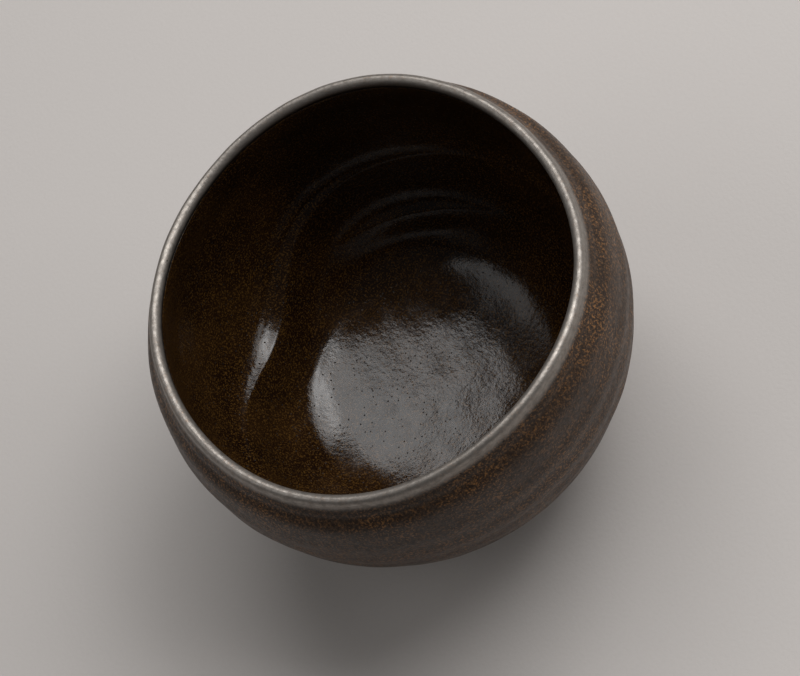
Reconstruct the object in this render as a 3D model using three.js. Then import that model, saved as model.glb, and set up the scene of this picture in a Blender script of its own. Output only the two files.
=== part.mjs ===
import * as THREE from "three";

// A hand-formed tea bowl in millimetres: +Z is up, and the origin is the centre of the foot's underside.
// Each piece is revolved as it would be on the wheel, and its vertices are then moved as the hands
// pressed the soft clay: a stepped inner wall, an uneven mouth and a slightly oval belly.

const TURNS = 36; // facets round the bowl

// Driving dimensions
const BOWL = {
  centreHeight: 58.5, // level of the widest part; the round walls are struck from this point on the axis
  outerRadius: 60,
  innerRadius: 54.2,
  outerArcStart: 38.5, // where the outer glaze ends above the foot, as an angle from straight down
  outerArcEnd: 101,
  innerArcStart: 45, // where the floor's dish meets the wall
  innerArcEnd: 99,
  floorHeight: 12,
};
const LIP = {
  outerRadius: 54.9,
  crestRadius: 53.5,
  innerRadius: 52,
  crestHeight: 80.4,
  grooveRadius: 56.2, // the soft groove under the outside of the lip
  grooveDrop: 5.4,
  seamDrop: 2.6, // the two glazes meet this far below the crest, on the inside
};
const GLAZE = { outer: 0.7, inner: 0.8, gap: 0.3 };
const FOOT = {
  topOuterRadius: 26.2,
  outerRadius: 25.3,
  innerRadius: 20.1,
  chamfer: 0.9,
  seatHeight: 5.6, // underside of the clay body where the ring is luted on
  recessHeight: 5.2, // ceiling of the hollow inside the ring
  boss: { radius: 6.5, height: 2.4 }, // the small pointed boss left at the centre of the hollow
  spiral: { depth: 0.45, pitch: 4.2, from: 8, to: 18 },
};

// How the hands moved the thrown form. Angles are in degrees, counted from +X.
const TERRACE = {
  restAngle: 71, // the step's edge before it is pressed, as an angle from straight down
  rise: { size: 5, at: 50 },
  press: { size: 16, at: 126, spread: 31 },
  height: { least: 1.3, most: 3.5, at: 126, spread: 42 },
  upperRun: 3.4,
  lowerRun: 17,
  reach: { low: 38, high: 96 },
};
const SECOND_STEP = { angle: 56, height: 1.3, at: 55, spread: 30, upperRun: 3, lowerRun: 9 };
const MOUTH = {
  radius: { cos: [0.55, -0.95, -0.25], sin: [0.35, 0.2, -0.15] },
  height: { cos: [0, -0.4, -0.9], sin: [0, -0.5, 1.25] },
};
const BELLY = { cos: [0, 0.26], sin: [0, 0.31] };
const GLAZE_LINE = { cos: [1.1, 0.5, -0.6, 0, 0.5], sin: [0.4, -0.9, 0, 0.5, 0.3] }; // degrees of arc
const THROWING = { height: 0.16, spacing: 9 }; // faint rings left on the outside

const radians = THREE.MathUtils.degToRad;
const smooth = THREE.MathUtils.smoothstep;

// A sum of waves round the bowl: cos[0] and sin[0] go once round, the next pair twice, and so on.
function wave({ cos, sin }, turn) {
  const pair = (i) => cos[i] * Math.cos((i + 1) * turn) + sin[i] * Math.sin((i + 1) * turn);
  return cos.reduce((sum, _, i) => sum + pair(i), 0);
}

// A smooth hump of height 1 at the angle `at`, all in degrees.
function hump(turnDegrees, at, spread) {
  const away = THREE.MathUtils.euclideanModulo(turnDegrees - at + 180, 360) - 180;
  return Math.exp(-((away / spread) ** 2));
}

// A point on a round wall, from its radius and its angle from straight down.
function onWall(radius, degrees) {
  const angle = radians(degrees);
  return new THREE.Vector2(radius * Math.sin(angle), BOWL.centreHeight - radius * Math.cos(angle));
}

// The direction in which the angle from straight down grows, at a point of a round wall.
function alongWall(degrees) {
  return new THREE.Vector2(Math.cos(radians(degrees)), Math.sin(radians(degrees)));
}

function wallArc(radius, from, to, steps) {
  return Array.from({ length: steps + 1 }, (_, i) => onWall(radius, from + ((to - from) * i) / steps));
}

function moved(point, x, y) {
  return new THREE.Vector2(point.x + x, point.y + y);
}

// A smooth curve between two points, leaving the first one out.
function bend(start, startPull, endPull, end, steps) {
  return new THREE.CubicBezierCurve(start, startPull, endPull, end).getPoints(steps).slice(1);
}

// The glazed surface from the end of the outer glaze, up and over the lip.
function outerSurface() {
  const arc = wallArc(BOWL.outerRadius, BOWL.outerArcStart, BOWL.outerArcEnd, 9);
  const shoulder = arc[arc.length - 1];
  const groove = new THREE.Vector2(LIP.grooveRadius, LIP.crestHeight - LIP.grooveDrop);
  const side = new THREE.Vector2(LIP.outerRadius, LIP.crestHeight - 2);
  const crest = new THREE.Vector2(LIP.crestRadius, LIP.crestHeight);
  const inside = new THREE.Vector2(LIP.innerRadius, LIP.crestHeight - 1.6);
  const seam = new THREE.Vector2(LIP.innerRadius - 0.05, LIP.crestHeight - LIP.seamDrop);
  const shoulderPull = shoulder.clone().addScaledVector(alongWall(BOWL.outerArcEnd), 3);
  return [
    ...arc,
    ...bend(shoulder, shoulderPull, moved(groove, 0.5, -1.5), groove, 2),
    ...bend(groove, moved(groove, -0.3, 1), moved(side, 0, -1), side, 2),
    ...bend(side, moved(side, 0, 1.1), moved(crest, 0.8, 0), crest, 3),
    ...bend(crest, moved(crest, -0.8, 0), moved(inside, 0, 0.8), inside, 3),
    seam,
  ];
}

// The glazed surface from just below the seam, down the inside to the middle of the floor.
function innerSurface() {
  const top = new THREE.Vector2(LIP.innerRadius - 0.05, LIP.crestHeight - LIP.seamDrop - GLAZE.gap);
  const arc = wallArc(BOWL.innerRadius, BOWL.innerArcEnd, BOWL.innerArcStart, 13);
  const floor = new THREE.Vector2(0, BOWL.floorHeight);
  const dishEdge = arc[arc.length - 1];
  const arcPull = arc[0].clone().addScaledVector(alongWall(BOWL.innerArcEnd), 4);
  const dishPull = dishEdge.clone().addScaledVector(alongWall(BOWL.innerArcStart), -6);
  return [
    top,
    ...bend(top, moved(top, 0, -4), arcPull, arc[0], 3),
    ...arc.slice(1),
    ...bend(dishEdge, dishPull, moved(floor, 29, 0), floor, 5),
  ];
}

// A surface moved into the clay by the given depth. Both glazed surfaces run with the clay on their left.
function sunk(points, depth) {
  return points.map((point, i) => {
    const before = points[Math.max(i - 1, 0)];
    const after = points[Math.min(i + 1, points.length - 1)];
    const along = after.clone().sub(before).normalize();
    return point.x === 0 ? moved(point, 0, -depth) : moved(point, -along.y * depth, along.x * depth);
  });
}

// A coat of glaze: its surface, and the same surface sunk by its thickness, closed on itself.
function coatProfile(surface, thickness) {
  const back = sunk(surface, thickness).reverse();
  return [...surface, ...back, surface[0].clone()];
}

function clayProfile() {
  const outside = sunk(outerSurface(), GLAZE.outer + GLAZE.gap);
  const inside = sunk(innerSurface(), GLAZE.inner + GLAZE.gap);
  const bareRadius = BOWL.outerRadius - GLAZE.outer - GLAZE.gap;
  const seatAngle = Math.acos((BOWL.centreHeight - FOOT.seatHeight) / bareRadius);
  const bare = wallArc(bareRadius, THREE.MathUtils.radToDeg(seatAngle), BOWL.outerArcStart, 3).slice(0, -1);
  const { boss, recessHeight, spiral } = FOOT;
  const hollow = Array.from({ length: 6 }, (_, i) =>
    new THREE.Vector2(THREE.MathUtils.lerp(spiral.from, spiral.to, i / 5), recessHeight));
  return [
    new THREE.Vector2(0, recessHeight - boss.height),
    new THREE.Vector2(boss.radius * 0.35, recessHeight - boss.height * 0.8),
    new THREE.Vector2(boss.radius * 0.75, recessHeight - boss.height * 0.2),
    ...hollow,
    new THREE.Vector2(FOOT.innerRadius - 0.6, FOOT.seatHeight),
    ...bare,
    ...outside,
    ...inside,
  ];
}

function footProfile() {
  const top = FOOT.seatHeight - GLAZE.gap;
  const { outerRadius, innerRadius, topOuterRadius, chamfer } = FOOT;
  return [
    new THREE.Vector2(innerRadius + chamfer * 0.7, 0),
    new THREE.Vector2(outerRadius - chamfer, 0),
    new THREE.Vector2(outerRadius, chamfer),
    new THREE.Vector2(outerRadius - 0.15, top * 0.55),
    new THREE.Vector2(topOuterRadius, top),
    new THREE.Vector2(innerRadius - 0.5, top),
    new THREE.Vector2(innerRadius, top * 0.6),
    new THREE.Vector2(innerRadius, chamfer),
    new THREE.Vector2(innerRadius + chamfer * 0.7, 0),
  ];
}

// One step of the inner wall, in millimetres towards the bowl's centre. `up` is the angle above its edge.
function step(up, height, upperRun, lowerRun) {
  if (up >= 0) return height * Math.exp(-up / upperRun);
  return height * (0.5 + 0.5 * Math.cos(Math.PI * Math.min(-up / lowerRun, 1)));
}

// The stepped inside: the step's edge rises and dips round the bowl, and the wall above and below follows it.
function pressInside(angle, radius, turnDegrees) {
  const { restAngle, rise, press, height, reach } = TERRACE;
  const pressed = press.size * hump(turnDegrees, press.at, press.spread);
  const shift = rise.size * Math.cos(radians(turnDegrees - rise.at)) - pressed;
  const below = (angle - reach.low) / (restAngle - reach.low);
  const above = (reach.high - angle) / (reach.high - restAngle);
  const shifted = angle + shift * THREE.MathUtils.clamp(angle < restAngle ? below : above, 0, 1);
  const size = height.least + (height.most - height.least) * hump(turnDegrees, height.at, height.spread);
  const second = SECOND_STEP.height * hump(turnDegrees, SECOND_STEP.at, SECOND_STEP.spread);
  const fade = smooth(angle, reach.low, reach.low + 8) * (1 - smooth(angle, reach.high - 14, reach.high));
  const towardsCentre =
    step(shifted - restAngle - shift, size, TERRACE.upperRun, TERRACE.lowerRun) +
    step(shifted - SECOND_STEP.angle, second, SECOND_STEP.upperRun, SECOND_STEP.lowerRun);
  return { angle: shifted, radius: radius - towardsCentre * fade };
}

// The outside: faint throwing rings, and a glaze line that wanders above the foot and ends in a thicker roll.
function pressOutside(angle, radius, turn) {
  const ring = THROWING.height * Math.cos((2 * Math.PI * angle) / THROWING.spacing + turn);
  const onBelly = smooth(angle, 45, 55) * (1 - smooth(angle, 92, 99));
  const nearFoot = 1 - smooth(angle, BOWL.outerArcStart, BOWL.outerArcStart + 14);
  const line = angle < BOWL.outerArcStart - 0.5 ? 0 : wave(GLAZE_LINE, turn) * nearFoot;
  return { angle: angle + line, radius: radius + ring * onBelly };
}

// Moves one vertex of the thrown form to where the hands left it.
function pressVertex(x, y, z) {
  const turn = Math.atan2(y, x);
  const distance = Math.hypot(x, y);
  const drop = BOWL.centreHeight - z;
  const radius = Math.hypot(distance, drop);
  const angle = THREE.MathUtils.radToDeg(Math.atan2(distance, drop));
  const wallMiddle = (BOWL.outerRadius + BOWL.innerRadius) / 2;
  const inside = radius < wallMiddle && angle > TERRACE.reach.low;
  const outside = radius > wallMiddle && angle > BOWL.outerArcStart - 1;
  let pressed = { angle, radius };
  if (inside && angle < TERRACE.reach.high) pressed = pressInside(angle, radius, THREE.MathUtils.radToDeg(turn));
  else if (outside && angle < BOWL.outerArcEnd) pressed = pressOutside(angle, radius, turn);
  const bent = onWall(pressed.radius, pressed.angle);
  const towardsMouth = smooth(bent.y, BOWL.centreHeight, LIP.crestHeight);
  const wider = wave(BELLY, turn) * (bent.x / BOWL.outerRadius) + wave(MOUTH.radius, turn) * towardsMouth;
  const ringRadius = bent.x + wider;
  return [ringRadius * Math.cos(turn), ringRadius * Math.sin(turn), bent.y + wave(MOUTH.height, turn) * towardsMouth];
}

// The spiral that the trimming tool leaves in the hollow of the foot.
function carveSpiral(x, y, z) {
  const distance = Math.hypot(x, y);
  const { depth, pitch, from, to } = FOOT.spiral;
  if (z > FOOT.seatHeight || distance < from - 1 || distance > to + 1) return [x, y, z];
  const groove = 0.5 + 0.5 * Math.cos(2 * Math.PI * (distance / pitch) - Math.atan2(y, x));
  const fade = smooth(distance, from - 1, from + 2) * (1 - smooth(distance, to - 2, to));
  return [x, y, z + depth * groove * fade];
}

function eachVertex(geometry, move) {
  const position = geometry.getAttribute("position");
  for (let i = 0; i < position.count; i++)
    position.setXYZ(i, ...move(position.getX(i), position.getY(i), position.getZ(i)));
  geometry.computeVertexNormals();
  return geometry;
}

function revolve(profile) {
  return new THREE.LatheGeometry(profile, TURNS).rotateX(Math.PI / 2);
}

function mesh(name, geometry, color, roughness) {
  const material = new THREE.MeshStandardMaterial({ color, roughness, metalness: 0 });
  const made = new THREE.Mesh(geometry, material);
  made.name = name;
  return made;
}

function clayBody() {
  const thrown = eachVertex(revolve(clayProfile()), carveSpiral);
  return mesh("clay_body", eachVertex(thrown, pressVertex), 0x6b4a35, 0.9);
}

function footRing() {
  return mesh("foot_ring", revolve(footProfile()), 0x6b4a35, 0.9);
}

function outerGlaze() {
  const profile = coatProfile(outerSurface(), GLAZE.outer);
  return mesh("outer_glaze", eachVertex(revolve(profile), pressVertex), 0x4a3b2d, 0.45);
}

function innerGlaze() {
  const profile = coatProfile(innerSurface(), GLAZE.inner);
  return mesh("inner_glaze", eachVertex(revolve(profile), pressVertex), 0x1f1409, 0.12);
}

const bowl = new THREE.Group();
bowl.add(clayBody(), footRing(), outerGlaze(), innerGlaze());

export default bowl;
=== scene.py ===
"""A hand-formed tea bowl on a pale floor: clay wall, trimmed foot, satin outer and glossy inner glaze."""

import logging
import math
from dataclasses import dataclass, field
from enum import Enum

import bmesh
import bpy
import numpy as np
from mathutils import Matrix, Vector


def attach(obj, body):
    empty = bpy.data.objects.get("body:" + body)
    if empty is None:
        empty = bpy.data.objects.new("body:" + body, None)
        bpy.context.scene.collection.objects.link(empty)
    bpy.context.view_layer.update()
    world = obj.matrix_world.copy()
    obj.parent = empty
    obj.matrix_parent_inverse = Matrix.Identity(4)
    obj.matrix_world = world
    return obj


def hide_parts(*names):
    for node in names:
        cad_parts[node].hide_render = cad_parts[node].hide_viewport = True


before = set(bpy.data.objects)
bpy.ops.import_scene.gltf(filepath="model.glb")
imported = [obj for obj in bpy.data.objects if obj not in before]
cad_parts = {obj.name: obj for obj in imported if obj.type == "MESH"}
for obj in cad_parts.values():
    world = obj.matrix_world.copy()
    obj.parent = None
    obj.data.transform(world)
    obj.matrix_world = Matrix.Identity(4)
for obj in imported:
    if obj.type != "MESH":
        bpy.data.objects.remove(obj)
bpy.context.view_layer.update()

LOG = logging.getLogger("tea_bowl")
MM = 0.001
MERGE_DISTANCE = 1e-7
TINY = 1e-9
BODY = "root"
Colour = tuple[float, float, float]


class Slot(Enum):
    """The record's material slots."""

    BARE_CLAY = "bare_clay"
    FOOT_CLAY = "foot_clay"
    OUTER_GLAZE = "satin_outer_glaze"
    INNER_GLAZE = "dark_inner_glaze"


class Mask(Enum):
    """Named values that a piece's mesh carries from point to point for its finish."""

    LIP = "lip"
    INSIDE = "inside"
    ROLL = "roll"
    WEAR = "wear"


def smooth(value: np.ndarray, low: float, high: float) -> np.ndarray:
    """Rises smoothly from 0 to 1.

    Args:
        value: The values to grade.
        low: Where the rise starts.
        high: Where the rise ends, which may be the smaller.

    Returns:
        The graded values.
    """
    share = np.clip((value - low) / (high - low), 0, 1)
    return share * share * (3 - 2 * share)


def hump(degrees: np.ndarray, at: float, spread: float) -> np.ndarray:
    """Makes a smooth hump of height 1 round the bowl.

    Args:
        degrees: Angles round the bowl.
        at: The hump's middle.
        spread: How far it reaches to each side.

    Returns:
        The hump's height at each angle.
    """
    away = (degrees - at + 180) % 360 - 180
    return np.exp(-((away / spread) ** 2))


@dataclass(frozen=True)
class Wave:
    """Waves round the bowl: the first pair goes once round, the next twice, and so on."""

    cos: tuple[float, ...]
    sin: tuple[float, ...]

    def at(self, turn: np.ndarray) -> np.ndarray:
        """Adds the waves up.

        Args:
            turn: Angles round the bowl, in radians.

        Returns:
            The sum at each angle.
        """
        pairs = enumerate(zip(self.cos, self.sin), start=1)
        return sum(c * np.cos(i * turn) + s * np.sin(i * turn) for i, (c, s) in pairs)


@dataclass(frozen=True)
class ThrownForm:
    """The thrown bowl's outlines, in millimetres, as on the wheel.

    Angles count from straight down, in degrees. A pull or a draw is how far a bend's handle stands from the
    point that the bend leaves or reaches.
    """

    centre_height: float = 58.5
    outer_radius: float = 60.0
    inner_radius: float = 54.2
    outer_start: float = 38.5
    outer_end: float = 101.0
    inner_start: float = 45.0
    inner_end: float = 99.0
    floor_height: float = 12.0
    lip_outer: float = 54.9
    lip_crest: float = 53.5
    lip_inner: float = 52.0
    crest_height: float = 80.4
    groove_radius: float = 56.2
    groove_drop: float = 5.4
    seam_drop: float = 2.6
    seam_gap: float = 0.02
    outer_glaze: float = 0.7
    inner_glaze: float = 0.8
    bedding: float = 0.3
    side_drop: float = 2.0
    inside_drop: float = 1.6
    seam_inset: float = 0.05
    shoulder_pull: float = 3.0
    groove_draw: tuple[float, float] = (0.5, -1.5)
    groove_pull: tuple[float, float] = (-0.3, 1.0)
    side_draw: float = 1.0
    side_pull: float = 1.1
    crest_pull: float = 0.8
    rim_pull: float = 4.0
    dish_pull: float = 6.0
    dish_radius: float = 29.0
    arc_steps: int = 18
    bend_steps: int = 2
    rim_steps: int = 3
    floor_steps: int = 8

    def on_wall(self, radius: float, degrees: float | np.ndarray) -> np.ndarray:
        """Finds points of a round wall.

        Args:
            radius: The wall's radius.
            degrees: Angles from straight down.

        Returns:
            Distance from the axis and height, one row a point.
        """
        angle = np.radians(degrees)
        return np.stack([radius * np.sin(angle), self.centre_height - radius * np.cos(angle)], axis=-1)

    def along_wall(self, degrees: float) -> np.ndarray:
        """Gives the direction in which the angle from straight down grows."""
        return np.array([math.cos(math.radians(degrees)), math.sin(math.radians(degrees))])

    def outer_surface(self, fineness: int) -> np.ndarray:
        """Draws the glazed outside, from above the foot up and over the lip.

        Args:
            fineness: Steps in the shortest bend.

        Returns:
            The outline's points.
        """
        steps = self.bend_steps * fineness
        angles = np.linspace(self.outer_start, self.outer_end, self.arc_steps * fineness)
        arc = self.on_wall(self.outer_radius, angles)
        shoulder = arc[-1]
        leaving = shoulder + self.shoulder_pull * self.along_wall(self.outer_end)
        groove = np.array([self.groove_radius, self.crest_height - self.groove_drop])
        side = np.array([self.lip_outer, self.crest_height - self.side_drop])
        crest = np.array([self.lip_crest, self.crest_height])
        inside = np.array([self.lip_inner, self.crest_height - self.inside_drop])
        seam = np.array([self.lip_inner - self.seam_inset, self.crest_height - self.seam_drop])
        return np.vstack([
            arc,
            bend(shoulder, leaving, groove + self.groove_draw, groove, steps),
            bend(groove, groove + self.groove_pull, side - [0, self.side_draw], side, steps),
            bend(side, side + [0, self.side_pull], crest + [self.crest_pull, 0], crest, steps),
            bend(crest, crest - [self.crest_pull, 0], inside + [0, self.crest_pull], inside, steps),
            seam[None, :],
        ])

    def inner_surface(self, fineness: int) -> np.ndarray:
        """Draws the glazed inside, from the seam down to the middle of the floor.

        Args:
            fineness: Steps in the shortest bend.

        Returns:
            The outline's points.
        """
        top_height = self.crest_height - self.seam_drop - self.seam_gap
        top = np.array([self.lip_inner - self.seam_inset, top_height])
        angles = np.linspace(self.inner_end, self.inner_start, self.arc_steps * fineness)
        arc = self.on_wall(self.inner_radius, angles)
        arriving = arc[0] + self.rim_pull * self.along_wall(self.inner_end)
        leaving = arc[-1] - self.dish_pull * self.along_wall(self.inner_start)
        dished = np.array([self.dish_radius, self.floor_height])
        floor = np.array([0.0, self.floor_height])
        first = bend(top, top - [0, self.rim_pull], arriving, arc[0], self.rim_steps * fineness)
        last = bend(arc[-1], leaving, dished, floor, self.floor_steps * fineness)
        return np.vstack([top[None, :], first, arc[1:], last])


def bend(start: np.ndarray, pull: np.ndarray, draw: np.ndarray, end: np.ndarray, steps: int) -> np.ndarray:
    """Draws a cubic curve, leaving its first point out.

    Args:
        start: The first point.
        pull: The handle that the curve leaves towards.
        draw: The handle that it arrives from.
        end: The last point.
        steps: How many points to make.

    Returns:
        The curve's points.
    """
    t = np.linspace(0, 1, steps + 1)[1:, None]
    return (1 - t) ** 3 * start + 3 * (1 - t) ** 2 * t * pull + 3 * (1 - t) * t**2 * draw + t**3 * end


def sunk(points: np.ndarray, depth: float) -> np.ndarray:
    """Moves an outline into the clay, which lies on its left.

    Args:
        points: The outline.
        depth: How far to move it.

    Returns:
        The moved outline.
    """
    along = np.gradient(points, axis=0)
    along /= np.linalg.norm(along, axis=1)[:, None]
    moved = points + depth * np.stack([-along[:, 1], along[:, 0]], axis=-1)
    on_axis = points[:, 0] == 0
    moved[on_axis] = points[on_axis] - [0, depth]
    return moved


@dataclass(frozen=True)
class HandForming:
    """How the hands moved the soft clay: the stepped inside, the uneven mouth and the oval belly.

    Angles are in degrees, and heights, radii and waves in millimetres.
    """

    form: ThrownForm = ThrownForm()
    rest_angle: float = 71.0
    rise: float = 5.0
    rise_at: float = 50.0
    press: float = 16.0
    press_at: float = 126.0
    press_spread: float = 31.0
    least: float = 1.3
    most: float = 3.5
    most_spread: float = 42.0
    upper_run: float = 3.4
    lower_run: float = 17.0
    reach_low: float = 38.0
    reach_high: float = 96.0
    second_angle: float = 56.0
    second_height: float = 1.3
    second_at: float = 55.0
    second_spread: float = 30.0
    second_upper_run: float = 3.0
    second_lower_run: float = 9.0
    fade_low: float = 8.0
    fade_high: float = 14.0
    mouth_radius: Wave = Wave((0.55, -0.95, -0.25), (0.35, 0.2, -0.15))
    mouth_height: Wave = Wave((0, -0.4, -0.9), (0, -0.5, 1.25))
    belly: Wave = Wave((0, 0.26), (0, 0.31))
    glaze_line: Wave = Wave((1.1, 0.5, -0.6, 0, 0.5), (0.4, -0.9, 0, 0.5, 0.3))
    ring_height: float = 0.16
    ring_spacing: float = 9.0
    rings_begin: tuple[float, float] = (45.0, 55.0)
    rings_end: tuple[float, float] = (92.0, 99.0)
    line_margin: float = 0.5
    line_fade: float = 14.0

    def step(self, up: np.ndarray, height: np.ndarray, upper: float, lower: float) -> np.ndarray:
        """Shapes one step of the inner wall.

        Args:
            up: Angle above the step's edge.
            height: How far the edge stands in from the wall.
            upper: The run of the curve above the edge.
            lower: The run of the slope below it.

        Returns:
            Distance towards the bowl's centre.
        """
        above = np.exp(-np.maximum(up, 0) / upper)
        below = 0.5 + 0.5 * np.cos(np.pi * np.minimum(-up / lower, 1))
        return height * np.where(up >= 0, above, below)

    def press_inside(self, angle: np.ndarray, radius: np.ndarray, degrees: np.ndarray) -> tuple:
        """Presses the stepped inner wall.

        Args:
            angle: Angles from straight down.
            radius: Distances from the centre of the round wall.
            degrees: Angles round the bowl.

        Returns:
            The new angles and distances.
        """
        shift = self.rise * np.cos(np.radians(degrees - self.rise_at))
        shift = shift - self.press * hump(degrees, self.press_at, self.press_spread)
        below = (angle - self.reach_low) / (self.rest_angle - self.reach_low)
        above = (self.reach_high - angle) / (self.reach_high - self.rest_angle)
        moved = angle + shift * np.clip(np.where(angle < self.rest_angle, below, above), 0, 1)
        size = self.least + (self.most - self.least) * hump(degrees, self.press_at, self.most_spread)
        second = self.second_height * hump(degrees, self.second_at, self.second_spread)
        fade = smooth(angle, self.reach_low, self.reach_low + self.fade_low)
        fade = fade * (1 - smooth(angle, self.reach_high - self.fade_high, self.reach_high))
        inward = self.step(moved - self.rest_angle - shift, size, self.upper_run, self.lower_run)
        above_second = moved - self.second_angle
        inward = inward + self.step(above_second, second, self.second_upper_run, self.second_lower_run)
        return moved, radius - inward * fade

    def press_outside(self, angle: np.ndarray, radius: np.ndarray, turn: np.ndarray) -> tuple:
        """Leaves faint throwing rings outside and lets the glaze line wander above the foot.

        Args:
            angle: Angles from straight down.
            radius: Distances from the centre of the round wall.
            turn: Angles round the bowl, in radians.

        Returns:
            The new angles and distances.
        """
        start = self.form.outer_start
        ring = self.ring_height * np.cos(2 * np.pi * angle / self.ring_spacing + turn)
        on_belly = smooth(angle, *self.rings_begin) * (1 - smooth(angle, *self.rings_end))
        fading = 1 - smooth(angle, start, start + self.line_fade)
        near_foot = np.where(angle < start - self.line_margin, 0, fading)
        return angle + self.glaze_line.at(turn) * near_foot, radius + ring * on_belly

    def place(self, outline: np.ndarray, turns: int) -> np.ndarray:
        """Turns an outline round the axis and presses it as the hands did.

        Args:
            outline: Distance from the axis and height, one row a point.
            turns: Points round the bowl.

        Returns:
            Points in millimetres: outline point, point round the bowl, coordinate.
        """
        form = self.form
        turn = np.linspace(0, 2 * np.pi, turns, endpoint=False)[None, :]
        distance = np.repeat(outline[:, :1], turns, axis=1)
        drop = form.centre_height - outline[:, 1:]
        radius = np.hypot(distance, drop)
        angle = np.degrees(np.arctan2(distance, drop))
        middle = (form.outer_radius + form.inner_radius) / 2
        degrees = np.degrees(turn) + 0 * angle
        inside = (radius < middle) & (angle > self.reach_low) & (angle < self.reach_high)
        lowest = form.outer_start - 2 * self.line_margin
        outside = (radius > middle) & (angle > lowest) & (angle < form.outer_end)
        in_angle, in_radius = self.press_inside(angle, radius, degrees)
        out_angle, out_radius = self.press_outside(angle, radius, turn)
        new_angle = np.where(inside, in_angle, np.where(outside, out_angle, angle))
        new_radius = np.where(inside, in_radius, np.where(outside, out_radius, radius))
        bent = form.on_wall(new_radius, new_angle)
        to_mouth = smooth(bent[..., 1], form.centre_height, form.crest_height)
        belly = self.belly.at(turn) * bent[..., 0] / form.outer_radius
        wider = belly + self.mouth_radius.at(turn) * to_mouth
        ring = bent[..., 0] + wider * (distance > 0)
        height = bent[..., 1] + self.mouth_height.at(turn) * to_mouth
        return np.stack([ring * np.cos(turn), ring * np.sin(turn), height], axis=-1)


@dataclass(frozen=True)
class FingerMarks:
    """The gentle unevenness that wet fingers leave, in millimetres, as a sum of waves through space."""

    depth: float = 0.07
    longest: float = 19.0
    shortest: float = 8.0
    count: int = 14
    seed: int = 7

    def at(self, points: np.ndarray) -> np.ndarray:
        """Measures the marks.

        Args:
            points: Points in millimetres, coordinates last.

        Returns:
            How far each point is raised.
        """
        draw = np.random.default_rng(self.seed)
        total = np.zeros(points.shape[:-1])
        for length in np.linspace(self.longest, self.shortest, self.count):
            way = draw.normal(size=3)
            way /= np.linalg.norm(way)
            total += np.sin(2 * np.pi * (points @ way) / length + draw.uniform(0, 2 * np.pi))
        return self.depth * total / math.sqrt(self.count)


def turned_mesh(
    name: str, rows: np.ndarray, masks: dict[Mask, np.ndarray], closed: bool
) -> bpy.types.Object:
    """Makes a closed mesh from rings of points.

    Args:
        name: The piece's name.
        rows: Rings of points in millimetres: ring, point round it, coordinate.
        masks: A value for every ring, or for every point, under each mask's name.
        closed: Whether the last ring joins the first, as against both lying on the axis.

    Returns:
        The new object, in metres.
    """
    rings, turns = rows.shape[:2]
    index = np.arange(rings * turns).reshape(rings, turns)
    below = index if closed else index[:-1]
    above = np.roll(index, -1, axis=0) if closed else index[1:]
    quads = np.stack([below, np.roll(below, -1, axis=1), np.roll(above, -1, axis=1), above], axis=-1)
    mesh = bpy.data.meshes.new(name)
    mesh.from_pydata((rows.reshape(-1, 3) * MM).tolist(), [], quads.reshape(-1, 4).tolist())
    for mask, values in masks.items():
        spread = values if values.ndim == 2 else np.repeat(values[:, None], turns, axis=1)
        layer = mesh.attributes.new(mask.value, "FLOAT", "POINT")
        layer.data.foreach_set("value", spread.astype(np.float32).ravel())
    work = bmesh.new()
    work.from_mesh(mesh)
    bmesh.ops.remove_doubles(work, verts=work.verts, dist=MERGE_DISTANCE)
    bmesh.ops.recalc_face_normals(work, faces=work.faces)
    for face in work.faces:
        face.smooth = True
    work.to_mesh(mesh)
    work.free()
    made = bpy.data.objects.new(name, mesh)
    bpy.context.scene.collection.objects.link(made)
    return made


def settle(piece: bpy.types.Object, node: str, finish: bpy.types.Material) -> None:
    """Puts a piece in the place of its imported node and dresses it.

    Args:
        piece: The fine piece.
        node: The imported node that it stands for.
        finish: Its material.
    """
    piece.data.materials.append(finish)
    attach(piece, BODY)
    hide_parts(node)
    LOG.info("%s stands for %s with %d faces", piece.name, node, len(piece.data.polygons))


Value = float | tuple | bpy.types.NodeSocket


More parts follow.
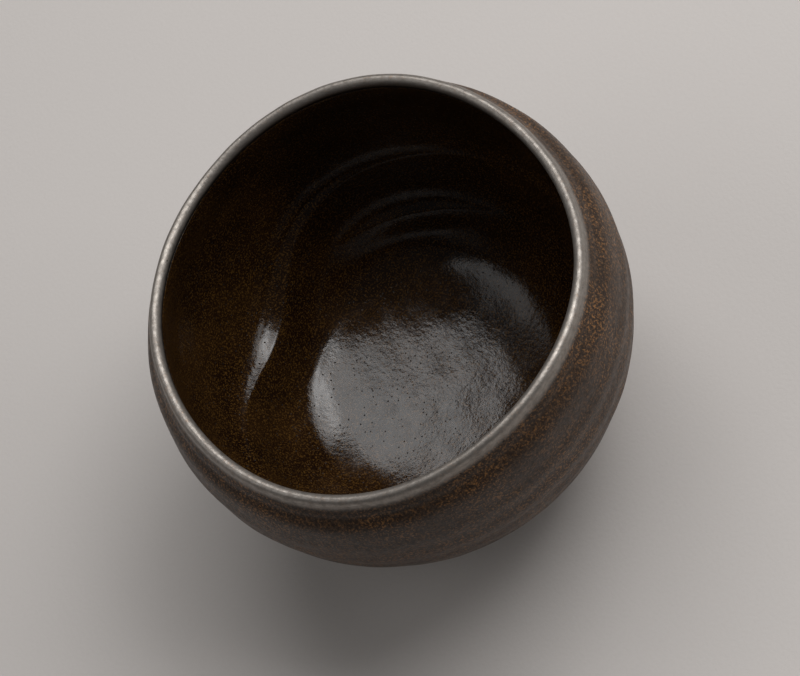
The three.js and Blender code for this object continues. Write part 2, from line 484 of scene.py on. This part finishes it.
class Wiring:
    """Adds nodes to a shader tree and joins them."""

    def __init__(self, tree: bpy.types.NodeTree) -> None:
        """Keeps the tree that the nodes go in."""
        self.tree = tree

    def node(self, kind: str, feeds: dict | None = None, **settings: object) -> bpy.types.Node:
        """Adds a node.

        Args:
            kind: The node's type.
            feeds: A value or a socket for each input, by its name or number.
            **settings: The node's own settings.

        Returns:
            The node.
        """
        made = self.tree.nodes.new(kind)
        for key, value in settings.items():
            setattr(made, key, value)
        for key, value in (feeds or {}).items():
            self.feed(made.inputs[key], value)
        return made

    def feed(self, socket: bpy.types.NodeSocket, value: Value) -> None:
        """Links a socket to an input, or sets the input's own value.

        Args:
            socket: The input.
            value: A socket, number or colour.
        """
        if isinstance(value, bpy.types.NodeSocket):
            self.tree.links.new(value, socket)
        else:
            socket.default_value = (*value, 1.0) if isinstance(value, tuple) and len(value) == 3 else value

    def math(self, operation: str, first: Value, second: Value = 0.0) -> bpy.types.NodeSocket:
        """Works out something from two values, clamped to 0 and 1.

        Args:
            operation: Blender's name for what is done.
            first: The first value.
            second: The second value.

        Returns:
            The result's socket.
        """
        made = self.node("ShaderNodeMath", {0: first, 1: second}, operation=operation, use_clamp=True)
        return made.outputs[0]

    def mix(self, share: Value, first: Value, second: Value) -> bpy.types.NodeSocket:
        """Mixes two colours.

        Args:
            share: How much of the second.
            first: The first colour.
            second: The second colour.

        Returns:
            The mixed colour's socket.
        """
        made = self.node("ShaderNodeMix", {0: share, 6: first, 7: second}, data_type="RGBA")
        return made.outputs[2]

    def grade(
        self, value: Value, low: Value, high: Value, start: float = 0.0, end: float = 1.0
    ) -> bpy.types.NodeSocket:
        """Maps a range of values onto another, clamped.

        Args:
            value: The value to map.
            low: The value that gives start.
            high: The value that gives end.
            start: The result at low.
            end: The result at high.

        Returns:
            The result's socket.
        """
        feeds = {"Value": value, "From Min": low, "From Max": high, "To Min": start, "To Max": end}
        return self.node("ShaderNodeMapRange", feeds).outputs["Result"]

    def noise(
        self, place: Value, scale: Value, detail: float = 2.0, rough: float = 0.5
    ) -> bpy.types.NodeSocket:
        """Adds a noise texture.

        Args:
            place: The texture's coordinates.
            scale: Its scale, in waves a metre.
            detail: Its detail.
            rough: Its roughness.

        Returns:
            The noise's value.
        """
        feeds = {"Vector": place, "Scale": scale, "Detail": detail, "Roughness": rough}
        return self.node("ShaderNodeTexNoise", feeds).outputs[0]

    def place(self) -> bpy.types.NodeSocket:
        """Gives the point of the piece, in metres."""
        return self.node("ShaderNodeTexCoord").outputs["Object"]

    def mask(self, mask: Mask) -> bpy.types.NodeSocket:
        """Reads one of the mesh's masks."""
        return self.node("ShaderNodeAttribute", attribute_name=mask.value).outputs["Fac"]

    def use(self, group: bpy.types.NodeTree, **feeds: Value) -> bpy.types.NodeSocket:
        """Places a node group and feeds its named inputs.

        Args:
            group: The group.
            **feeds: A value or socket for each input.

        Returns:
            The group's first output.
        """
        made = self.node("ShaderNodeGroup", node_tree=group)
        for key, value in feeds.items():
            self.feed(made.inputs[key], value)
        return made.outputs[0]


def effect(
    name: str, inputs: tuple[str, ...], output: str
) -> tuple[bpy.types.NodeTree, Wiring, dict, bpy.types.Node]:
    """Starts a node group with a Place input and named numbers.

    Args:
        name: The group's name.
        inputs: The names of its number inputs.
        output: The name of its output.

    Returns:
        The group, its wiring, its inputs by name, and its output node.
    """
    tree = bpy.data.node_groups.new(name, "ShaderNodeTree")
    tree.interface.new_socket("Place", in_out="INPUT", socket_type="NodeSocketVector")
    for each in inputs:
        tree.interface.new_socket(each, in_out="INPUT", socket_type="NodeSocketFloat")
    tree.interface.new_socket(output, in_out="OUTPUT", socket_type="NodeSocketFloat")
    wiring = Wiring(tree)
    given = wiring.node("NodeGroupInput").outputs
    return tree, wiring, {each.name: each for each in given if each.name}, wiring.node("NodeGroupOutput")


class Effects:
    """The surface effects that several finishes share, as node groups."""

    def __init__(self) -> None:
        """Builds each effect once."""
        self.speckle = self.make_speckle()
        self.pinholes = self.make_pinholes()
        self.orange_peel = self.make_orange_peel()

    def make_speckle(self) -> bpy.types.NodeTree:
        """Makes fine iron speckle: a mask with soft-edged spots."""
        tree, wiring, given, out = effect("iron_speckle", ("Scale", "Threshold", "Softness"), "Mask")
        spots = wiring.noise(given["Place"], given["Scale"], detail=3.0, rough=0.62)
        top = wiring.math("ADD", given["Threshold"], given["Softness"])
        wiring.feed(out.inputs["Mask"], wiring.grade(spots, given["Threshold"], top))
        return tree

    def make_pinholes(self) -> bpy.types.NodeTree:
        """Makes scattered pinholes: a mask that is 1 in each hole."""
        tree, wiring, given, out = effect("pinholes", ("Scale", "Share", "Radius"), "Mask")
        cells = wiring.node("ShaderNodeTexVoronoi", {"Vector": given["Place"], "Scale": given["Scale"]})
        chance = wiring.node("ShaderNodeSeparateColor", {0: cells.outputs["Color"]}).outputs[0]
        chosen = wiring.math("LESS_THAN", chance, given["Share"])
        bottom = wiring.math("MULTIPLY", given["Radius"], 0.5)
        hole = wiring.grade(cells.outputs["Distance"], bottom, given["Radius"], start=1.0, end=0.0)
        wiring.feed(out.inputs["Mask"], wiring.math("MULTIPLY", hole, chosen))
        return tree

    def make_orange_peel(self) -> bpy.types.NodeTree:
        """Makes orange peel: a height from coarse and fine waves, where Balance is the fine share."""
        tree, wiring, given, out = effect("orange_peel", ("Coarse", "Fine", "Balance"), "Height")
        coarse = wiring.noise(given["Place"], given["Coarse"], detail=1.5, rough=0.4)
        fine = wiring.noise(given["Place"], given["Fine"], detail=2.0, rough=0.5)
        coarse_part = wiring.math("MULTIPLY", coarse, wiring.math("SUBTRACT", 1.0, given["Balance"]))
        fine_part = wiring.math("MULTIPLY", fine, given["Balance"])
        wiring.feed(out.inputs["Height"], wiring.math("ADD", coarse_part, fine_part))
        return tree


def new_finish(name: str, feeds: dict) -> tuple[bpy.types.Material, Wiring, bpy.types.Node]:
    """Starts a material with one Principled shader.

    Args:
        name: The material's name.
        feeds: Values for the shader's own sockets.

    Returns:
        The material, its wiring and its shader.
    """
    made = bpy.data.materials.new(name)
    made.use_nodes = True
    made.node_tree.nodes.clear()
    wiring = Wiring(made.node_tree)
    shader = wiring.node("ShaderNodeBsdfPrincipled", feeds)
    wiring.node("ShaderNodeOutputMaterial", {"Surface": shader.outputs["BSDF"]})
    return made, wiring, shader


def roughen(wiring: Wiring, shader: bpy.types.Node, height: bpy.types.NodeSocket, depth: float) -> None:
    """Feeds a height to a shader's normal.

    Args:
        wiring: The material's wiring.
        shader: Its shader.
        height: The height, from 0 to 1.
        depth: What a height of 1 is, in millimetres.
    """
    bump = wiring.node("ShaderNodeBump", {"Height": height, "Distance": depth * MM, "Strength": 1.0})
    wiring.feed(shader.inputs["Normal"], bump.outputs["Normal"])


@dataclass(frozen=True)
class InnerGlazeFinish:
    """The glossy, near-black brown glaze inside, with amber speckle and pinholes.

    Scales are in waves a metre, and the relief is in millimetres.
    """

    dark: Colour = (0.0065, 0.0024, 0.0013)
    warm: Colour = (0.022, 0.0095, 0.0032)
    amber: Colour = (0.2, 0.098, 0.02)
    pit: Colour = (0.002, 0.0015, 0.001)
    patch_scale: float = 55.0
    amber_share: float = 0.4
    gloss_scale: float = 320.0
    smoothest: float = 0.11
    roughest: float = 0.22
    pit_roughness: float = 0.8
    pit_depth: float = 0.5
    relief: float = 0.085

    def make(self, effects: Effects) -> bpy.types.Material:
        """Builds the material.

        Args:
            effects: The shared effects.

        Returns:
            The material.
        """
        made, wiring, shader = new_finish("glossy_inner_glaze", {"IOR": 1.46})
        place = wiring.place()
        patches = wiring.grade(wiring.noise(place, self.patch_scale, detail=3.0), low=0.36, high=0.66)
        ground = wiring.mix(patches, self.dark, self.warm)
        spots = wiring.use(effects.speckle, Place=place, Scale=2100.0, Threshold=0.5, Softness=0.16)
        colour = wiring.mix(wiring.math("MULTIPLY", spots, self.amber_share), ground, self.amber)
        holes = wiring.use(effects.pinholes, Place=place, Scale=720.0, Share=0.8, Radius=0.17)
        wiring.feed(shader.inputs["Base Color"], wiring.mix(holes, colour, self.pit))
        gloss = wiring.noise(place, self.gloss_scale, detail=3.0)
        gloss = wiring.grade(gloss, low=0.3, high=0.7, start=self.smoothest, end=self.roughest)
        in_pits = wiring.math("MULTIPLY", holes, self.pit_roughness)
        wiring.feed(shader.inputs["Roughness"], wiring.math("ADD", gloss, in_pits))
        peel = wiring.use(effects.orange_peel, Place=place, Coarse=780.0, Fine=2300.0, Balance=0.35)
        height = wiring.math("SUBTRACT", peel, wiring.math("MULTIPLY", holes, self.pit_depth))
        roughen(wiring, shader, height, self.relief)
        return made


@dataclass(frozen=True)
class OuterGlazeFinish:
    """The satin brown glaze outside, with rust speckle, greyer and like metal where it thins over the lip.

    Scales are in waves a metre, and the relief is in millimetres.
    """

    umber: Colour = (0.02, 0.0105, 0.0055)
    grey: Colour = (0.06, 0.036, 0.022)
    rust: Colour = (0.26, 0.122, 0.042)
    lip: Colour = (0.34, 0.31, 0.28)
    inside: Colour = (0.012, 0.007, 0.005)
    roll: Colour = (0.013, 0.008, 0.005)
    grey_share: float = 0.8
    drift_scale: float = 60.0
    worn_scale: float = 650.0
    roll_share: float = 0.8
    lip_metal: float = 0.85
    satin_scale: float = 700.0
    smoothest: float = 0.4
    roughest: float = 0.56
    lip_smoothing: float = 0.02
    pit_depth: float = 0.6
    relief: float = 0.13

    def make(self, effects: Effects) -> bpy.types.Material:
        """Builds the material.

        Args:
            effects: The shared effects.

        Returns:
            The material.
        """
        made, wiring, shader = new_finish("satin_outer_glaze", {"IOR": 1.4})
        place = wiring.place()
        grey_spots = wiring.use(effects.speckle, Place=place, Scale=1300.0, Threshold=0.45, Softness=0.16)
        ground = wiring.mix(wiring.math("MULTIPLY", grey_spots, self.grey_share), self.umber, self.grey)
        drift = wiring.noise(place, self.drift_scale, detail=3.0)
        drift = wiring.grade(drift, low=0.35, high=0.65, start=0.35, end=1.0)
        rust_spots = wiring.use(effects.speckle, Place=place, Scale=1700.0, Threshold=0.51, Softness=0.12)
        colour = wiring.mix(wiring.math("MULTIPLY", rust_spots, drift), ground, self.rust)
        lip = wiring.mask(Mask.LIP)
        worn = wiring.noise(place, self.worn_scale, detail=4.0, rough=0.6)
        worn = wiring.grade(worn, low=0.35, high=0.62, start=0.6, end=1.0)
        lip_share = wiring.math("MULTIPLY", lip, worn)
        colour = wiring.mix(lip_share, colour, self.lip)
        colour = wiring.mix(wiring.mask(Mask.INSIDE), colour, self.inside)
        rolled = wiring.math("MULTIPLY", wiring.mask(Mask.ROLL), self.roll_share)
        colour = wiring.mix(rolled, colour, self.roll)
        holes = wiring.use(effects.pinholes, Place=place, Scale=330.0, Share=0.12, Radius=0.13)
        wiring.feed(shader.inputs["Base Color"], wiring.mix(holes, colour, self.umber))
        wiring.feed(shader.inputs["Metallic"], wiring.math("MULTIPLY", lip_share, self.lip_metal))
        satin = wiring.noise(place, self.satin_scale, detail=3.0)
        satin = wiring.grade(satin, low=0.3, high=0.7, start=self.smoothest, end=self.roughest)
        smoother = wiring.math("MULTIPLY", lip, self.lip_smoothing)
        wiring.feed(shader.inputs["Roughness"], wiring.math("SUBTRACT", satin, smoother))
        peel = wiring.use(effects.orange_peel, Place=place, Coarse=420.0, Fine=1700.0, Balance=0.4)
        height = wiring.math("SUBTRACT", peel, wiring.math("MULTIPLY", holes, self.pit_depth))
        roughen(wiring, shader, height, self.relief)
        return made


@dataclass(frozen=True)
class ClayFinish:
    """Bare fired clay: grainy and matt, with pits, and polished where it is worn.

    Scales are in waves a metre, and the relief is in millimetres.
    """

    name: str = "bare_fired_clay"
    dark: Colour = (0.11, 0.066, 0.043)
    light: Colour = (0.27, 0.18, 0.12)
    grit: Colour = (0.36, 0.29, 0.22)
    patch_scale: float = 140.0
    matt_scale: float = 800.0
    smoothest: float = 0.8
    roughest: float = 0.96
    polish: float = 0.35
    pit_depth: float = 0.5
    relief: float = 0.35

    def make(self, effects: Effects) -> bpy.types.Material:
        """Builds the material.

        Args:
            effects: The shared effects.

        Returns:
            The material.
        """
        made, wiring, shader = new_finish(self.name, {"IOR": 1.45})
        place = wiring.place()
        patches = wiring.noise(place, self.patch_scale, detail=5.0, rough=0.65)
        ground = wiring.mix(wiring.grade(patches, low=0.3, high=0.7), self.dark, self.light)
        spots = wiring.use(effects.speckle, Place=place, Scale=1400.0, Threshold=0.6, Softness=0.05)
        wiring.feed(shader.inputs["Base Color"], wiring.mix(spots, ground, self.grit))
        pits = wiring.use(effects.pinholes, Place=place, Scale=420.0, Share=0.35, Radius=0.22)
        worn = wiring.math("MULTIPLY", wiring.mask(Mask.WEAR), self.polish)
        matt = wiring.noise(place, self.matt_scale, detail=3.0)
        matt = wiring.grade(matt, low=0.3, high=0.7, start=self.smoothest, end=self.roughest)
        wiring.feed(shader.inputs["Roughness"], wiring.math("SUBTRACT", matt, worn))
        grain = wiring.use(effects.orange_peel, Place=place, Coarse=700.0, Fine=2600.0, Balance=0.5)
        height = wiring.math("SUBTRACT", grain, wiring.math("MULTIPLY", pits, self.pit_depth))
        roughen(wiring, shader, height, self.relief)
        return made


@dataclass(frozen=True)
class FloorFinish:
    """The plain pale floor, with the faintest tooth of paper.

    The tooth's scale is in waves a metre, and the relief is in millimetres.
    """

    pale: Colour = (0.585, 0.55, 0.525)
    paler: Colour = (0.61, 0.575, 0.55)
    tooth_scale: float = 900.0
    smoothest: float = 0.8
    roughest: float = 0.95
    relief: float = 0.06

    def make(self) -> bpy.types.Material:
        """Builds the material."""
        made, wiring, shader = new_finish("pale_floor", {"IOR": 1.4})
        tooth = wiring.noise(wiring.place(), self.tooth_scale, detail=3.0)
        wiring.feed(shader.inputs["Base Color"], wiring.mix(tooth, self.pale, self.paler))
        matt = wiring.grade(tooth, low=0.0, high=1.0, start=self.smoothest, end=self.roughest)
        wiring.feed(shader.inputs["Roughness"], matt)
        roughen(wiring, shader, tooth, self.relief)
        return made


@dataclass
class GlazeCoats:
    """The two coats of glaze, each a closed shell with a fine face and a plain back.

    Bands are drops below the lip's crest, in millimetres, where a mask begins and is full. The roll of glaze
    above the foot runs over some degrees, and its colour fades between two shares of that run.
    """

    hands: HandForming = HandForming()
    marks: FingerMarks = FingerMarks()
    turns: int = 384
    fineness: int = 6
    back_fineness: int = 1
    roll_swell: float = 0.35
    roll_run: float = 3.2
    roll_fade: tuple[float, float] = (0.6, 1.6)
    lip_band: tuple[float, float] = (3.9, 2.0)
    inside_band: tuple[float, float] = (1.2, 2.5)
    held_rings: int = 14
    held_radius: float = 4.0

    def shell(
        self, name: str, face: np.ndarray, back: np.ndarray, masks: dict, swell: np.ndarray
    ) -> bpy.types.Object:
        """Builds one coat.

        Args:
            name: The piece's name.
            face: The outline of its visible face.
            back: The outline of its back, in the same direction.
            masks: A value for each point of the face's outline, by mask.
            swell: How far each point of the face's outline swells outwards.

        Returns:
            The coat.
        """
        front = self.hands.place(face, self.turns)
        around = np.gradient(np.concatenate([front[:, -2:], front, front[:, :2]], axis=1), axis=1)[:, 2:-2]
        normal = np.cross(np.gradient(front, axis=0), around)
        length = np.linalg.norm(normal, axis=-1, keepdims=True)
        normal = np.where(length > TINY, normal / np.maximum(length, TINY), [0, 0, 1.0])
        middle = len(face) // 2
        outwards = front[middle, 0] - self.hands.place(back, 4)[len(back) // 2, 0]
        if normal[middle, 0] @ outwards < 0:
            normal = -normal
        ring = np.arange(len(face))
        first_end = smooth(ring, 0, self.held_rings)
        last_end = smooth(ring[::-1], 0, self.held_rings)
        if face[-1, 0] == 0:
            last_end = smooth(face[:, 0], 0, self.held_radius)
        raised = self.marks.at(front) * (first_end * last_end)[:, None] + swell[:, None]
        front = front + normal * raised[..., None]
        rows = np.concatenate([front, self.hands.place(back[::-1], self.turns)])
        padded = {key: np.concatenate([value, np.zeros(len(back))]) for key, value in masks.items()}
        return turned_mesh(name, rows, padded, closed=True)

    def outer(self, effects: Effects) -> bpy.types.Object:
        """Builds and dresses the satin coat outside.

        Args:
            effects: The shared effects.

        Returns:
            The coat.
        """
        form = self.hands.form
        face = form.outer_surface(self.fineness)
        back = sunk(form.outer_surface(self.back_fineness), form.outer_glaze)
        over = np.arange(len(face)) > int(np.argmax(face[:, 1]))
        drop = form.crest_height - face[:, 1]
        lip = np.where(over, 1.0, smooth(drop, *self.lip_band))
        inside = np.where(over, smooth(drop, *self.inside_band), 0.0)
        angle = np.degrees(np.arctan2(face[:, 0], form.centre_height - face[:, 1]))
        up = angle - form.outer_start
        roll = 1 - smooth(up / self.roll_run, *self.roll_fade)
        bulge = np.sin(np.pi * np.clip(up / self.roll_run, 0, 1)) ** 2
        masks = {Mask.LIP: lip, Mask.INSIDE: inside, Mask.ROLL: np.where(over, 0.0, roll)}
        coat = self.shell("satin_outer_coat", face, back, masks, self.roll_swell * bulge)
        settle(coat, "outer_glaze", OuterGlazeFinish().make(effects))
        return coat

    def inner(self, effects: Effects) -> bpy.types.Object:
        """Builds and dresses the glossy coat inside.

        Args:
            effects: The shared effects.

        Returns:
            The coat.
        """
        form = self.hands.form
        face = form.inner_surface(self.fineness)
        back = sunk(form.inner_surface(self.back_fineness), form.inner_glaze)
        coat = self.shell("glossy_inner_coat", face, back, {}, np.zeros(len(face)))
        settle(coat, "inner_glaze", InnerGlazeFinish().make(effects))
        return coat


@dataclass
class ClayWork:
    """The fired clay under the glaze: the wall with its trimmed base, and the foot ring luted to it.

    Sizes are in millimetres. The spiral begins and ends between two distances from the axis each, and the
    foot is worn below a band of heights.
    """

    hands: HandForming = HandForming()
    turns: int = 240
    seat_height: float = 5.6
    recess_height: float = 5.2
    recess_radius: float = 19.5
    boss_radius: float = 6.5
    boss_height: float = 2.4
    spiral_depth: float = 0.45
    spiral_pitch: float = 4.2
    spiral_begins: tuple[float, float] = (7.0, 10.0)
    spiral_ends: tuple[float, float] = (16.0, 18.0)
    foot_top: float = 5.3
    foot_outer: float = 25.3
    foot_top_outer: float = 26.2
    foot_inner: float = 20.1
    chamfer: float = 0.9
    hollow_margin: float = 0.4
    heel_share: float = 0.7
    edge_pull: float = 0.5
    heel_draw: float = 0.4
    flare_pull: tuple[float, float] = (-0.1, 1.6)
    flare_draw: tuple[float, float] = (0.6, 1.4)
    throat_pull: float = 1.0
    top_overhang: float = 0.5
    wear_band: tuple[float, float] = (0.1, 1.1)
    fineness: int = 2
    boss_points: int = 12
    hollow_points: int = 30
    bare_points: int = 16
    flat_points: int = 8
    edge_points: int = 6
    side_points: int = 12
    heel_points: int = 5

    def wall_outline(self) -> np.ndarray:
        """Draws the clay wall, from the boss under the base round to the middle of the floor.

        Returns:
            The outline's points.
        """
        form = self.hands.form
        depth = form.outer_glaze + form.bedding
        bare_radius = form.outer_radius - depth
        seat = math.degrees(math.acos((form.centre_height - self.seat_height) / bare_radius))
        share = np.linspace(0, 1, self.boss_points)
        drop = self.boss_height * (1 - smooth(share, 0, 1))
        boss = np.stack([self.boss_radius * share, self.recess_height - drop], axis=-1)
        margin = self.hollow_margin
        hollow = np.linspace(self.boss_radius + margin, self.recess_radius - margin, self.hollow_points)
        ceiling = np.stack([hollow, np.full(self.hollow_points, self.recess_height)], axis=-1)
        corner = np.array([[self.recess_radius, self.seat_height]])
        bare = form.on_wall(bare_radius, np.linspace(seat, form.outer_start, self.bare_points))[:-1]
        outside = sunk(form.outer_surface(self.fineness), depth)
        inside = sunk(form.inner_surface(self.fineness), form.inner_glaze + form.bedding)
        return np.vstack([boss, ceiling, corner, bare, outside, inside])

    def carve(self, rows: np.ndarray) -> np.ndarray:
        """Carves the trimming spiral in the hollow of the foot.

        Args:
            rows: Rings of points in millimetres.

        Returns:
            The carved rings.
        """
        distance = np.hypot(rows[..., 0], rows[..., 1])
        turn = np.arctan2(rows[..., 1], rows[..., 0])
        groove = 0.5 + 0.5 * np.cos(2 * np.pi * distance / self.spiral_pitch - turn)
        fade = smooth(distance, *self.spiral_begins) * (1 - smooth(distance, *self.spiral_ends))
        low = rows[..., 2] < self.seat_height
        carved = rows.copy()
        carved[..., 2] += np.where(low, self.spiral_depth * groove * fade, 0)
        return carved

    def wall(self, effects: Effects) -> bpy.types.Object:
        """Builds and dresses the clay wall.

        Args:
            effects: The shared effects.

        Returns:
            The wall.
        """
        rows = self.carve(self.hands.place(self.wall_outline(), self.turns))
        made = turned_mesh("clay_wall", rows, {Mask.WEAR: np.zeros(len(rows))}, closed=False)
        settle(made, "clay_body", ClayFinish().make(effects))
        return made

    def foot(self, effects: Effects) -> bpy.types.Object:
        """Builds and dresses the foot ring.

        Args:
            effects: The shared effects.

        Returns:
            The ring.
        """
        outer, inner, edge, top = self.foot_outer, self.foot_inner, self.chamfer, self.foot_top
        corner = np.array([outer, edge])
        toe = np.array([outer - edge, 0.0])
        heel = np.array([inner + edge * self.heel_share, 0.0])
        throat = np.array([inner, edge])
        flare = np.array([self.foot_top_outer, top])
        brim = np.array([inner - self.top_overhang, top])
        leaving = np.array([inner, top - self.throat_pull])
        rounded = self.edge_pull * edge
        arriving = heel - [self.heel_draw * edge, 0]
        outline = np.vstack([
            np.linspace(heel, toe, self.flat_points),
            bend(toe, toe + [rounded, 0], corner - [0, rounded], corner, self.edge_points),
            bend(corner, corner + self.flare_pull, flare - self.flare_draw, flare, self.side_points),
            np.linspace(flare, brim, self.flat_points)[1:],
            bend(brim, leaving, throat + [0, self.throat_pull], throat, self.flat_points),
            bend(throat, throat - [0, rounded], arriving, heel, self.heel_points)[:-1],
        ])
        turn = np.linspace(0, 2 * np.pi, self.turns, endpoint=False)[None, :]
        ring, height = outline[:, :1], outline[:, 1:]
        rows = np.stack([ring * np.cos(turn), ring * np.sin(turn), height + 0 * turn], axis=-1)
        wear = 1 - smooth(outline[:, 1], *self.wear_band)
        made = turned_mesh("trimmed_foot", rows, {Mask.WEAR: wear}, closed=True)
        settle(made, "foot_ring", ClayFinish(name="worn_foot_clay").make(effects))
        return made


@dataclass
class Camera:
    """The photograph's view: from above, rolled about the line of sight."""

    elevation: float = 60.49
    roll: float = 38.58
    lens: float = 110.49
    distance: float = 600.0
    aim_height: float = 58.5
    frame_offset: tuple[float, float] = (2.97, -4.56)

    def place(self) -> bpy.types.Object:
        """Makes the camera.

        Returns:
            The camera.
        """
        tilt, roll = math.radians(self.elevation), math.radians(self.roll)
        right = Vector((1, 0, 0))
        up = Vector((0, math.sin(tilt), math.cos(tilt)))
        back = Vector((0, -math.cos(tilt), math.sin(tilt)))
        picture_right = right * math.cos(roll) - up * math.sin(roll)
        picture_up = right * math.sin(roll) + up * math.cos(roll)
        across, above = self.frame_offset
        made = bpy.data.objects.new("camera", bpy.data.cameras.new("camera"))
        made.data.lens = self.lens
        made.data.clip_start = 0.01
        turned = Matrix((picture_right, picture_up, back)).transposed().to_4x4()
        spot = picture_right * across + picture_up * above + back * self.distance
        turned.translation = (spot + Vector((0, 0, self.aim_height))) * MM
        made.matrix_world = turned
        bpy.context.scene.collection.objects.link(made)
        bpy.context.scene.camera = made
        return made


@dataclass
class Softbox:
    """One soft lamp, placed by its direction from the bowl: degrees, metres and watts."""

    name: str
    azimuth: float
    elevation: float
    width: float
    height: float
    power: float
    distance: float = 1.0
    aim_height: float = 0.04

    def place(self) -> None:
        """Makes the lamp and turns it to the bowl."""
        turn, rise = math.radians(self.azimuth), math.radians(self.elevation)
        way = Vector((math.cos(turn) * math.cos(rise), math.sin(turn) * math.cos(rise), math.sin(rise)))
        lamp = bpy.data.lights.new(self.name, "AREA")
        lamp.shape = "RECTANGLE"
        lamp.size = self.width
        lamp.size_y = self.height
        lamp.energy = self.power
        made = bpy.data.objects.new(self.name, lamp)
        made.location = way * self.distance + Vector((0, 0, self.aim_height))
        made.rotation_euler = way.to_track_quat("Z", "Y").to_euler()
        bpy.context.scene.collection.objects.link(made)


@dataclass
class Studio:
    """The pale floor, the lamps and the surroundings."""

    floor_size: float = 6.0
    surround: Colour = (0.62, 0.6, 0.59)
    surround_light: float = 0.07
    lamps: list[Softbox] = field(default_factory=lambda: [
        Softbox("overhead_softbox", azimuth=34, elevation=66, width=1.15, height=0.44, power=5.8),
        Softbox("right_key", azimuth=4, elevation=50, width=0.85, height=0.55, power=5.4, distance=1.2),
        Softbox("right_card", azimuth=-25, elevation=27, width=0.6, height=0.5, power=2, distance=1.3),
        Softbox("left_card", azimuth=157, elevation=45, width=0.8, height=0.65, power=1.5),
    ])

    def floor(self) -> None:
        """Lays the floor."""
        half = self.floor_size / 2
        corners = [(-half, -half, 0), (half, -half, 0), (half, half, 0), (-half, half, 0)]
        mesh = bpy.data.meshes.new("floor")
        mesh.from_pydata(corners, [], [(0, 1, 2, 3)])
        made = bpy.data.objects.new("floor", mesh)
        mesh.materials.append(FloorFinish().make())
        bpy.context.scene.collection.objects.link(made)

    def surroundings(self) -> None:
        """Lights the world softly, and shows it pale to the camera only."""
        world = bpy.data.worlds.new("studio")
        world.use_nodes = True
        world.node_tree.nodes.clear()
        wiring = Wiring(world.node_tree)
        seen = wiring.node("ShaderNodeLightPath").outputs["Is Camera Ray"]
        strength = wiring.grade(seen, low=0.0, high=1.0, start=self.surround_light, end=1.0)
        sky = wiring.node("ShaderNodeBackground", {"Color": self.surround, "Strength": strength})
        wiring.node("ShaderNodeOutputWorld", {"Surface": sky.outputs[0]})
        bpy.context.scene.world = world

    def build(self) -> None:
        """Sets the whole studio up."""
        bpy.context.scene.view_settings.view_transform = "Standard"
        self.floor()
        self.surroundings()
        for lamp in self.lamps:
            lamp.place()


def main() -> None:
    """Builds the bowl, the studio and the camera."""
    logging.basicConfig(level=logging.INFO, format="%(message)s")
    Camera().place()
    effects = Effects()
    clay = ClayWork()
    clay.wall(effects)
    clay.foot(effects)
    coats = GlazeCoats()
    coats.outer(effects)
    coats.inner(effects)
    Studio().build()


if __name__ == "__main__":
    main()
